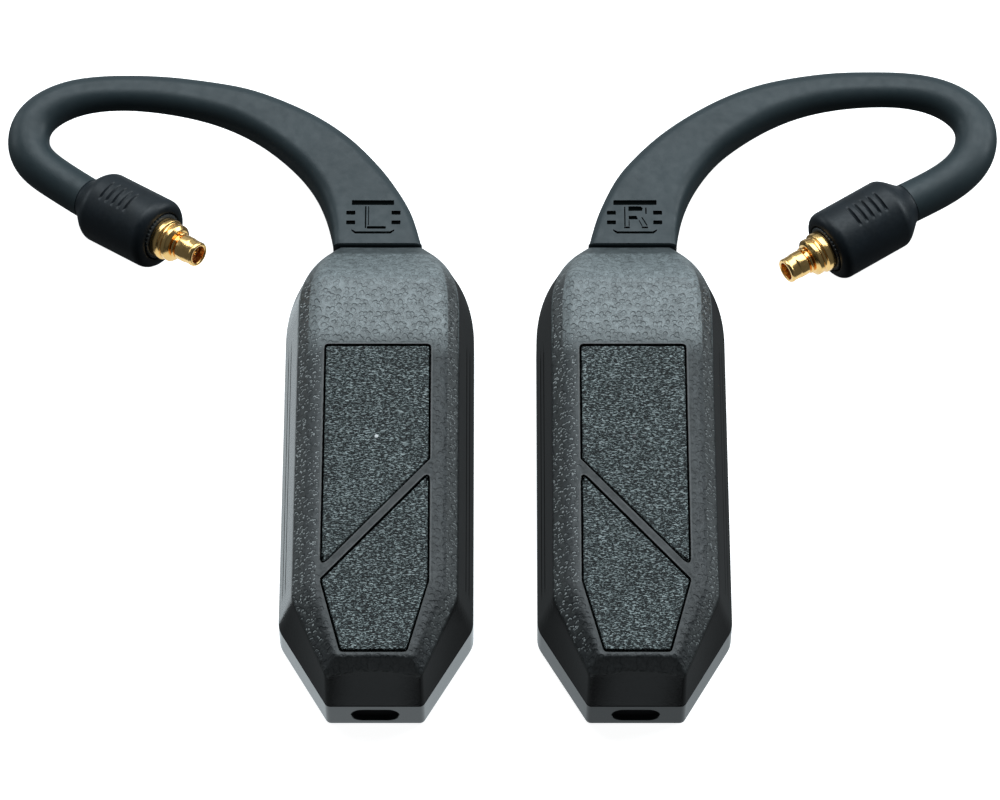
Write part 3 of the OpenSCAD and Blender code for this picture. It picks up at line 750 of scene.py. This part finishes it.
def front_look(side, points, row_of, crease_row, slope_rows, outer_count):
    """Attributes of the front shell's material at each of its points."""
    flat = points[:, :2]
    x, y = flat[:, 0], flat[:, 1]
    near_panel = np.minimum(signed_distance(flat, UPPER), signed_distance(flat, LOWER))
    on_front = smoothstep(crease_row + 1, crease_row + 4, row_of.astype(float))
    on_front[outer_count:] = 0
    in_bar = (np.abs(x) < PANEL_HW) & (near_panel < 0.9) & (y > 8) & (y < 24)
    pits = on_front * smoothstep(0.1, 0.4, near_panel)
    pits[in_bar] *= smoothstep(PANEL_HW - 0.9, PANEL_HW, np.abs(x[in_bar]))
    pits *= 0.75 + 0.25 * smoothstep(43, 37, y)
    pits *= smoothstep(46.9, 46.5, y)
    slope = (row_of > crease_row + 3) & (row_of < crease_row + 3 + slope_rows)
    world_x = x * (1 if side == "left" else -1)
    bevel = on_front * slope * (y > 4) * smoothstep(46.5, 42, y)
    # Painted highlights: glints on the slopes, full on those facing world left and weaker on the
    # right, and on the frame's strip left of the panels; none near the port end.
    painted_glints = on_front * slope * np.where(world_x < 4, 1.0, 0.4) * smoothstep(45, 42, y)
    frame_side = on_front * smoothstep(-5.1, -5.5, world_x) * smoothstep(37, 34, y)
    painted_glints = np.maximum(painted_glints, 0.8 * frame_side) * smoothstep(1.5, 4, y)
    return {"pebbled": on_front, "pits": pits, "painted_glints": painted_glints, "bevel": bevel,
            "bar": on_front * in_bar}


def front_shell(side):
    edge, crease, top = ring(EDGE), ring(CREASE), ring(TOP)
    seam = at_height(edge, crease, SPLIT_Z + SEAM)
    lip = seam.copy()
    lip[:, :2] -= 0.05 * outward(seam)
    rows = [lip, seam + (0, 0, 0.05)]
    for middle in GROOVES:
        for step, depth in GROOVE_ROWS:
            groove = edge + (crease - edge) * (middle + step)
            straight = smoothstep(9.5, 12, groove[:, 1]) * smoothstep(38, 34, groove[:, 1])
            groove[:, :2] -= depth * straight[:, None] * outward(groove)
            rows.append(groove)
    wall_rows, slope_rows = 6, 12
    crease_row = len(rows) - 1 + wall_rows
    levels = [rows.pop(), crease, top, ring(TOP_IN, POD_LEN - 0.2)]
    rows += rounded_rows(levels, [0.3, top_softness(top)], [wall_rows, slope_rows, 2])
    inner = [at_height(inner_ring(EDGE, 0), inner_ring(CREASE, 0.5), SPLIT_Z + SEAM),
             inner_ring(CREASE, 0.5), inner_ring(TOP, 1.0)]
    points, faces, outer_count = hollow_shell(rows, inner)
    row_of = np.minimum(np.arange(len(points)) // len(rows[0]), len(rows) - 1)
    obj = make_mesh(side + "_front_shell_look", side, points, faces)
    for name, values in front_look(side, points, row_of, crease_row, slope_rows,
                                   outer_count).items():
        add_attribute(obj, name, values)
    wide_low = [(x, y - 0.1) if y < 3 else (x, y) for x, y in LOWER]
    floor_z = POD_H - RECESS_D
    cutters = [extruded("cutter", side, corner_rounded(outline, PANEL_R), floor_z, 13, flare=0.04)
               for outline in (UPPER, wide_low)]
    cut(obj, cutters + [neck_cutter(side)])
    dress(obj, side, "pod", "smoked_front", "front_shell", sharp=38)
    # Painted shade: the floor and walls of the recesses, in the gap around each panel, are painted
    # near black.
    shade_recesses(obj, side, (UPPER, wide_low), 0.12, floor_z - 0.05, POD_H - 0.1)


def back_shell(side):
    edge, crease = ring(EDGE), ring(CREASE)
    seam = at_height(edge, crease, SPLIT_Z - SEAM)
    lip = seam.copy()
    lip[:, :2] -= 0.06 * outward(seam)
    levels = [seam - (0, 0, 0.06), ring(FOOT), ring(BACK)]
    inner = [at_height(inner_ring(EDGE, 0), inner_ring(CREASE, 0.5), SPLIT_Z - SEAM),
             inner_ring(FOOT, -1.0)]
    points, faces, _ = hollow_shell([lip] + rounded_rows(levels, [0.2], [10, 3]), inner)
    obj = make_mesh(side + "_back_shell_look", side, points, faces)
    port = tube_along_y("cutter", side, oval(PORT_W, PORT_H, 0, PORT_Z), -1, 3, flare=0.05)
    pads = [extruded("cutter", side, circle(x, PAD_Y, PAD_R), -1, 3) for x in (-PAD_X, PAD_X)]
    cut(obj, [port, neck_cutter(side)] + pads)
    dress(obj, side, "pod", "smoked_shell", "back_shell", sharp=38)


def slice_up(obj, step):
    """Cuts a solid's large flat faces into small ones by planes across x and y."""
    bm = bmesh.new()
    bm.from_mesh(obj.data)
    for axis in (0, 1):
        values = [v.co[axis] for v in bm.verts]
        low, high = min(values), max(values)
        normal = Vector((axis == 0, axis == 1, 0))
        for k in range(1, int((high - low) / step) + 1):
            at = normal * (low + k * (high - low) / (int((high - low) / step) + 1))
            bmesh.ops.bisect_plane(bm, geom=bm.verts[:] + bm.edges[:] + bm.faces[:], dist=1e-7,
                                   plane_co=at, plane_no=normal)
    bm.to_mesh(obj.data)
    bm.free()


def panel(side, name, outline):
    """Grained panel, a gap smaller than its recess, with small faces for its relief."""
    shape = grow_ring(corner_rounded(outline, PANEL_R), -PANEL_GAP)
    obj = extruded(f"{side}_{name}_look", side, shape, POD_H - RECESS_D + 0.001, POD_H - 0.03,
                   chamfer=0.09)
    slice_up(obj, 0.0012)
    dress(obj, side, "pod", "grained_panel", name, sharp=50)


def indicator(side):
    """Small domed lens of the indicator light, standing for the light pipe."""
    dome_rows, dome_h = 6, 0.05
    base_z = POD_H - dome_h
    layers = [(LIGHT_R, POD_H - RECESS_D), (LIGHT_R, base_z)]
    for k in range(1, dome_rows + 1):
        a = math.pi / 2 * k / dome_rows
        layers.append((max(LIGHT_R * math.cos(a), 0.004), base_z + dome_h * math.sin(a)))
    obj = layered(side + "_light_lens", side, [(circle(0, LIGHT_Y, r), z) for r, z in layers])
    dress(obj, side, "pod", "clear_light", "light_pipe", LIGHT_ON if side == "left" else LIGHT_OFF)


# ---------------------------------------------------------------- ear hook

# Centrelines of the hooks: x, y, z and half width.
HOOK_PATHS = {
    "left": [
        (-0.3, 48.3, 3.8, 4.25), (-1, 51.5, 3.8, 3.9), (-2.6, 55.3, 3.9, 3.4),
        (-4.8, 58.6, 4, 3), (-7.6, 61.2, 4.2, 2.7), (-10.7, 63.3, 4.3, 2.4),
        (-14, 64.9, 4.4, 2.2), (-17.5, 65.9, 4.4, 2), (-21, 66.5, 4.5, 1.9),
        (-24.5, 66.8, 4.5, 1.8), (-28, 66.7, 4.5, 1.8), (-31.5, 65.9, 4.4, 1.9),
        (-34.5, 63.5, 4.2, 2), (-34.5, 59.7, 3.8, 2.05), (-31.5, 57.2, 3.6, 2),
    ],
    "right": [
        (-0.3, 48.3, 3.8, 4.25), (-0.9, 51.4, 3.8, 3.9), (-2.2, 55.2, 3.9, 3.5),
        (-4.5, 58.7, 4, 3), (-7.2, 61.4, 4.2, 2.6), (-10.3, 63.6, 4.3, 2.4),
        (-13.6, 65.3, 4.4, 2.2), (-17, 66.4, 4.4, 2), (-20.5, 67, 4.5, 1.9),
        (-24, 67.2, 4.5, 1.8), (-27.6, 67.1, 4.5, 1.8), (-31.2, 66.1, 4.5, 1.9),
        (-33.9, 63.6, 4.5, 2), (-34, 60, 4.5, 2.05), (-31.7, 56.8, 4.4, 2),
    ],
}
HOUSING_R = 3.5
HOUSING_LEN = 8.6
FLARE_LEN = 1.1
PLUG_OUT = 5.2
PLUG_PIN_BACK = 1.3
TIP_SHORT = 0.45
FRONT = FLARE_LEN + HOUSING_LEN
TIP = PLUG_OUT - TIP_SHORT
HOOK_BASE_H = 4.8
HOOK_BASE_HW = 4.25
HOOK_BASE_R = 0.7
MARK_TOP, MARK_DEPTH = 6.2, 0.2
ROUND_R = 2.2


def plug_axis(side):
    """Tip and direction of the plug in the pod's own frame, from the record's plug mount."""
    mount = MOUNTS[side + "_plug"]
    centre_x, end_y, turn = pod_frame(side)
    x, y, z = mount["pos_m"]
    aim = unit(np.array(mount["axis"], float) * (turn, 1, 1))
    return np.array([(x - centre_x) * turn, y - end_y, z]) / MM + aim * PLUG_PIN_BACK, aim


def spline(rows, per_step):
    """Catmull-Rom curve through rows, stopping one row before the end; per_step lists the
    samples between one row and the next."""
    rows = np.asarray(rows, float)
    out = []
    for i, count in enumerate(per_step):
        a, b = rows[max(i - 1, 0)], rows[i]
        c, d = rows[i + 1], rows[min(i + 2, len(rows) - 1)]
        for t in np.arange(count) / count:
            out.append(0.5 * (2 * b + (c - a) * t + (2 * a - 5 * b + 4 * c - d) * t * t
                              + (3 * b - 3 * c + d - a) * t ** 3))
    out.append(rows[-2])
    return np.array(out)


def smoothed(values, passes):
    """Values evened out along a path, with both ends kept."""
    out = values.copy()
    for _ in range(passes):
        out[1:-1] = 0.25 * out[:-2] + 0.5 * out[1:-1] + 0.25 * out[2:]
    return out


def rounded_rectangle(w, h, r, fractions):
    """Points of a rounded rectangle at fractions of the way round, from its top centre,
    clockwise as seen along the path."""
    flat_x, flat_y, arc = 2 * (w - r), 2 * (h - r), math.pi * r / 2
    ends = np.cumsum([flat_x / 2, arc, flat_y, arc, flat_x, arc, flat_y, arc, flat_x / 2])
    s = (fractions % 1.0) * (2 * (flat_x + flat_y) + 4 * arc)
    which = np.searchsorted(ends, s, side="right").clip(0, 8)
    run = s - np.concatenate(([0], ends))[which]
    # Flat stretches as start and direction, and corners as centre and first angle.
    flats = {0: ((0, h), (1, 0)), 2: ((w, h - r), (0, -1)), 4: ((w - r, -h), (-1, 0)),
             6: ((-w, r - h), (0, 1)), 8: ((r - w, h), (1, 0))}
    corners = {1: ((w - r, h - r), 90), 3: ((w - r, r - h), 0), 5: ((r - w, r - h), -90),
               7: ((r - w, h - r), 180)}
    out = np.zeros((len(s), 2))
    for k, (start, direction) in flats.items():
        out[which == k] = start + run[which == k, None] * direction
    for k, (centre, first) in corners.items():
        out[which == k] = centre + r * around(np.radians(first) - run[which == k] / r)
    return out


def hook_frames(side):
    """Centreline samples of a hook and their across and up directions."""
    tip, aim = plug_axis(side)
    back = tip - (FRONT + PLUG_OUT) * aim
    rows = HOOK_PATHS[side] + [(*back, 2.0), (*(back + 3 * aim), 2.0)]
    path = spline(rows, [20, 16] + [10] * (len(rows) - 4))
    path[:, 3] = smoothed(path[:, 3], 12)
    path[:, :3] = smoothed(path[:, :3], 30)
    tangent = unit(np.gradient(path[:, :3], axis=0))
    run = run_along(path[:, :3])
    turned = smoothstep(0, 3.4, run)[:, None]
    tangent = (0, 1, 0) * (1 - turned) + tangent * turned
    ending = smoothstep(1.6, 0, run[-1] - run)[:, None]
    tangent = unit(tangent * (1 - ending) + aim * ending)
    across = unit(np.cross(tangent, (0, 0, 1)))
    return path, across, np.cross(across, tangent)


def thick_line(a, b, width):
    """Rectangle around a line between two points."""
    a, b = np.array(a, float), np.array(b, float)
    x, y = unit(b - a)
    across = np.array((-y, x)) * width / 2
    return [a - across, b - across, b + across, a + across]


def mark_outlines(side):
    """Side mark in the hook base: a letter drawn in fine lines between two long bars, with two
    ticks on each side."""
    left, right = (-2.85, 1.23) if side == "left" else (-2.66, 1.52)
    outlines = [corner_rounded(rectangle(left, 52.75, right, 53.3), 0.08),
                [(left + 0.35, 49.5), (right - 0.3, 49.5), (right + 0.05, 49.82),
                 (right + 0.05, 50.0), (right - 0.35, 49.76), (left + 0.4, 49.76), (left, 50.0),
                 (left, 49.82)]]
    for x in (left - 0.52, right - 0.24):
        for y in (50.55, 51.65):
            outlines.append(corner_rounded(rectangle(x, y, x + 0.88, y + 0.45), 0.08))
    if side == "left":
        strokes = (((-1.5, 50.12), (-1.5, 52.6), 0.15), ((-1.22, 50.45), (-1.22, 52.6), 0.1),
                   ((-1.36, 50.2), (0.45, 50.2), 0.3))
    else:
        strokes = (((0.42, 50.35), (0.42, 52.55), 0.13), ((0.02, 50.35), (0.02, 51.0), 0.1),
                   ((-1.62, 51.75), (-1.62, 52.45), 0.14), ((-1.22, 51.35), (-1.72, 50.4), 0.13),
                   ((-0.95, 51.0), (-1.25, 50.35), 0.1))
        outlines += [[(0.07, 52.08), (0.07, 52.6), (-1.1, 52.6), (-1.32, 52.4), (-1.25, 52.08)],
                     [(0.05, 51.12), (0.05, 51.52), (-0.7, 51.52), (-0.85, 51.12)],
                     rectangle(-0.05, 50.1, 0.5, 50.3), rectangle(-1.8, 50.1, -1.2, 50.3)]
    return outlines + [thick_line(*stroke) for stroke in strokes]


def mark_cutters(side):
    """Prisms with sloping sides that sink the side mark into the hook base."""
    cutters = []
    for outline in mark_outlines(side):
        base = np.asarray(outline, float)
        narrow = grow_ring(base, -0.03)
        layers = [(narrow, MARK_TOP - MARK_DEPTH), (base, MARK_TOP), (base, MARK_TOP + 1)]
        cutters.append(layered("cutter", side, layers))
    return cutters


def ear_hook(side):
    """Hook with a flat base that turns into a round tube, its mark and its tongue's pocket."""
    path, across, up = hook_frames(side)
    n = 96
    fractions = np.linspace(0, 1, n, endpoint=False) + 0.5 / n
    rings = []
    for k, (p, a, u) in enumerate(zip(path, across, up)):
        w = p[3]
        f = (HOOK_BASE_HW - w) / (HOOK_BASE_HW - ROUND_R)
        h = min(w, HOOK_BASE_H / 2 + (ROUND_R - HOOK_BASE_H / 2) * f)
        ending = smoothstep(60, 20, len(path) - k)
        h *= 1 - 0.18 * smoothstep(0.4, 1, f) * (1 - ending)
        roundness = 0.62 + 0.38 * smoothstep(45, 100, k)
        r = min(max(HOOK_BASE_R + (ROUND_R - HOOK_BASE_R) * f, HOOK_BASE_R), h * roundness)
        section = rounded_rectangle(w, h, r, fractions)
        rings.append(p[:3] + section[:, :1] * a + section[:, 1:] * u)
    # Base end: a flat face with the pocket, and a rounded edge around it.
    base, centre = rings[0], path[0, :3]
    inward = unit(centre - base)
    edges = []
    for pull, back in ((0.32, 0.0), (0.16, 0.03), (0.05, 0.11)):
        edge = base + inward * pull
        edge[:, 1] = centre[1] + back
        edges.append(edge)
    rings[0] = base + (0, 0.24, 0)
    pocket = rounded_rectangle(TONGUE_W / 2 + 0.02, TONGUE_H / 2 + 0.02, 0.25, fractions)
    pocket += (TONGUE_X, TONGUE_Z)
    mouth = np.insert(pocket, 1, centre[1], axis=1)
    obj = capped(side + "_ear_hook_look", side, [mouth + (0, 2.9, 0), mouth] + edges + rings)
    cut(obj, mark_cutters(side), "MANIFOLD")
    dress(obj, side, "hook", "hook_rubber", "ear_hook", sharp=35)
    # Painted shade: the sunken mark's floor and walls are painted near black.
    shade_recesses(obj, side, mark_outlines(side), 0.03, MARK_TOP - MARK_DEPTH - 0.05, MARK_TOP - 0.06)


# ---------------------------------------------------------------- plug

def plug_frame(side):
    """Origin at the housing's back, the axis, a direction up from it and one across."""
    tip, aim = plug_axis(side)
    across = unit(np.cross(aim, (0, 0, 1)))
    return tip - (FRONT + PLUG_OUT) * aim, aim, across, np.cross(across, aim)


def turned(side, node, slot, profile, segments, sharp, shape=None, look=None):
    """Piece turned about the plug's axis from (radius, distance) points; shape may change the
    radii, given each point's angle from up and its distance."""
    origin, aim, across, up = plug_frame(side)
    angle = np.linspace(0, 2 * math.pi, segments, endpoint=False)
    spokes = around(angle) @ (up, across)
    rows = []
    for r, s in profile:
        radius = np.full(segments, max(r, 0.002))
        if shape is not None:
            radius = shape(radius, angle, s)
        rows.append(origin + aim * s + radius[:, None] * spokes)
    dress(capped(f"{side}_{node}_look", side, rows), side, "hook", slot, node, look, sharp)


def rounded_profile(points, radius, steps):
    """Profile from (radius, distance from the housing's front) points, whose inner corners
    are rounded by up to a radius."""
    v = np.array(points) + (0, FRONT)
    out = [v[:1]]
    for before, here, after in zip(v, v[1:], v[2:]):
        near = min(np.linalg.norm(before - here), np.linalg.norm(after - here))
        out.append(fillet(here, before, after, min(radius, 0.45 * near), steps))
    return np.vstack(out + [v[-1:]])


def plug_housing(side):
    r, start, end = HOUSING_R, 2.4, FRONT - 0.9
    t = np.linspace(0, 1, 28)
    back = stack((1.85 + (r - 1.85) * smoothstep(0, 1, t), start - 2.8 * (1 - t)))
    straight = stack((np.full(110, r), np.linspace(start, end, 112)[1:-1]))
    nose = (r - 0.9, end) + 0.9 * around(np.radians(np.linspace(0, 90, 10)))
    mouth = [(2.52, FRONT), (2.45, FRONT - 0.03), (2.42, FRONT - 0.12), (2.42, FRONT - 0.8),
             (1.2, FRONT - 0.8)]

    def ribs(radius, angle, s):
        """Five short grooves on top of the straight part."""
        if abs(radius[0] - r) > 0.01:
            return radius
        off = np.abs(np.angle(np.exp(1j * angle)))
        first, pitch, half_width = FLARE_LEN + 2.5, 0.78, 0.16
        depth = max(1 - min(1.0, abs(s - first - k * pitch) / half_width) ** 2 for k in range(5))
        return radius - 0.2 * depth * (1 - smoothstep(0.26, 0.36, off))

    profile = np.vstack((back, straight, nose, mouth))
    turned(side, "plug_housing", "hook_rubber", profile, 144, 45, ribs, HOUSING)


def lock_ring(side):
    profile = [(1.7, -0.85), (2.3, -0.85), (2.3, 0.08), (1.95, 0.1), (1.7, 0.02), (1.7, -0.5)]

    def knurl(radius, angle, s):
        return radius - 0.05 * smoothstep(1.95, 2.2, radius) * (1 - np.cos(angle * 36))

    turned(side, "lock_ring", "hard_black", rounded_profile(profile, 0.07, 3), 288, 40, knurl)


def plug_body(side):
    profile = [(1.1, -0.8), (1.62, -0.75), (1.62, 0.12), (2.0, 0.2), (2.0, 0.95), (1.75, 1.05),
               (1.75, 1.32), (1.85, 1.42), (1.85, 1.85), (1.5, 2.12), (1.05, 2.18), (1.05, 2.62),
               (1.26, 2.72), (1.26, 3.6), (1.21, 3.75), (1.2, TIP - 0.35), (1.24, TIP - 0.25),
               (1.16, TIP - 0.02), (1.0, TIP), (0.86, TIP - 0.05), (0.85, 2.9), (0.1, 2.85)]
    turned(side, "plug_body", "gold", rounded_profile(profile, 0.06, 4), 96, 35)


def snap_ring(side):
    """Split spring ring with a round section, in the groove behind the barrel."""
    origin, aim, across, up = plug_frame(side)
    tube = (1.2, FRONT + 2.4) + 0.15 * around(np.radians(np.linspace(0, 360, 16, endpoint=False)))
    spokes = around(np.radians(np.linspace(12, 342, 67))) @ (up, across)
    rows = [origin + tube @ (out, aim) for out in spokes]
    dress(capped(side + "_snap_ring_look", side, rows), side, "hook", "gold", "snap_ring")


def centre_pin(side):
    profile = [(0.002, 2.81), (0.19, 2.81), (0.19, TIP - 0.5), (0.12, TIP - 0.37),
               (0.002, TIP - 0.35)]
    turned(side, "centre_pin", "gold", rounded_profile(profile, 0.05, 4), 32, 40)


def insulator(side):
    profile = [(0.2, 2.82), (0.84, 2.82), (0.84, 3.97), (0.5, 4.07), (0.2, 3.92)]
    turned(side, "insulator", "insulator", rounded_profile(profile, 0.06, 4), 48, 40)


# ---------------------------------------------------------------- the object

for side in SIDES:
    front_shell(side)
    back_shell(side)
    panel(side, "upper_panel", UPPER)
    panel(side, "lower_panel", LOWER)
    for build in (indicator, ear_hook, plug_housing, lock_ring, plug_body, snap_ring, insulator,
                  centre_pin):
        build(side)

# CAD nodes that stay as they are get their own procedural materials.
for row in frame["record"]["subparts"]:
    node = frame["nodes"][row["node"]]
    if node.hide_render:
        continue
    if not node.data.materials:
        node.data.materials.append(None)
    for index in range(len(node.data.materials)):
        node.data.materials[index] = MATERIALS[row["material_slot"]]


# ---------------------------------------------------------------- floor, light, camera

def floor():
    """White card; the object neither mirrors it nor is lit by it."""
    mesh = bpy.data.meshes.new("floor")
    size = 1.6
    corners = [(x, y, 0) for x, y in rectangle(-size, -size, size, size)]
    mesh.from_pydata(corners, [], [(0, 1, 2, 3)])
    obj = add_object("floor", mesh)
    obj.location.z = -0.00005
    obj.visible_diffuse = False
    obj.visible_glossy = False
    obj.visible_shadow = False
    n = Nodes("floor")
    n.material.cycles.emission_sampling = "NONE"
    mesh.materials.append(n.finish(n.clouds(8, 2, 0.86, 0.88), n.clouds(40, 2, 0.8, 0.9),
                                   Specular_IOR_Level=0.0, Emission_Color=(1, 1, 1),
                                   Emission_Strength=0.93))


COOL = (0.86, 0.955, 1.0)


def area_light(name, at, aim, size, power, *only):
    """Rectangular soft light; only limits it to the pieces that stand for some nodes."""
    data = bpy.data.lights.new(name, "AREA")
    data.shape = "RECTANGLE"
    data.size, data.size_y = size
    data.energy = power
    data.color = COOL
    obj = add_object(name, data)
    obj.location = at
    obj.rotation_euler = (Vector(aim) - Vector(at)).to_track_quat("-Z", "Y").to_euler()
    if only:
        lit = bpy.data.collections.new(name + "_lit")
        for node in only:
            lit.objects.link(bpy.data.objects[node + "_look"])
        obj.light_linking.receiver_collection = lit


def studio():
    """Large soft light above and behind, weaker ones on both sides, low cards that light only
    some pieces, and dark surroundings with a dim glow behind and on both sides."""
    middle = (0, 0, 0)
    area_light("top_back", (0.05, 0.34, 0.53), middle, (0.95, 0.46), 4.9)
    area_light("right", (0.5, 0.22, 0.2), middle, (0.3, 0.3), 1.25)
    area_light("left", (-0.5, 0.28, 0.12), middle, (0.3, 0.3), 0.55)
    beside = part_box("left_back_shell")[0].x - 0.016
    area_light("bounce", (beside, 0.008, -0.02), (beside, 0.008, 1), (0.026, 0.042), 0.0028,
               "left_front_shell", "left_back_shell")
    below, upwards, card = (0, -0.024, -0.02), (0, -0.024, 1), (0.12, 0.10)
    area_light("under", below, upwards, card, 0.035, "left_back_shell", "left_plug_body",
               "right_plug_body", "left_snap_ring", "right_snap_ring")
    area_light("under_right", below, upwards, card, 0.019, "right_back_shell")
    area_light("front", (-0.03, -0.2, -0.06), (0, -0.034, 0.008), (0.25, 0.2), 0.045,
               "left_front_shell", "right_front_shell")
    world = bpy.data.worlds.new("studio")
    world.use_nodes = True
    t = Tree(world.node_tree)
    split = t.add("ShaderNodeSeparateXYZ", Vector=t.add("ShaderNodeTexCoord").outputs["Generated"])

    def glow(axis, start, end, strength):
        """Grows from 0 at start to a strength at end, along one axis of the direction."""
        reach = {"Value": split.outputs[axis], "From Min": start, "From Max": end}
        return t.times(t.add("ShaderNodeMapRange", **reach).outputs["Result"], strength)

    sides = t.maths("MAXIMUM", glow("X", 0.15, 0.45, 0.075), glow("X", -0.15, -0.45, 0.075))
    behind = t.maths("ADD", glow("Y", 0.55, 0.8, 0.42), 0.03)
    back = world.node_tree.nodes["Background"]
    t.feed(back.inputs["Strength"], t.maths("ADD", behind, sides))
    t.feed(back.inputs["Color"], COOL)
    bpy.context.scene.world = world


def camera():
    elevation = math.radians(60)
    distance = 0.451
    aim = Vector((-0.0005, -0.0029, 0.005))
    data = bpy.data.cameras.new("camera")
    data.sensor_width = 36
    data.lens = 171.8
    data.clip_start = 0.01
    obj = add_object("camera", data)
    obj.location = aim + distance * Vector((0, -math.cos(elevation), math.sin(elevation)))
    obj.rotation_euler = (math.pi / 2 - elevation, 0, 0)
    bpy.context.scene.camera = obj


floor()
studio()
camera()
bpy.context.scene.view_settings.view_transform = "Standard"
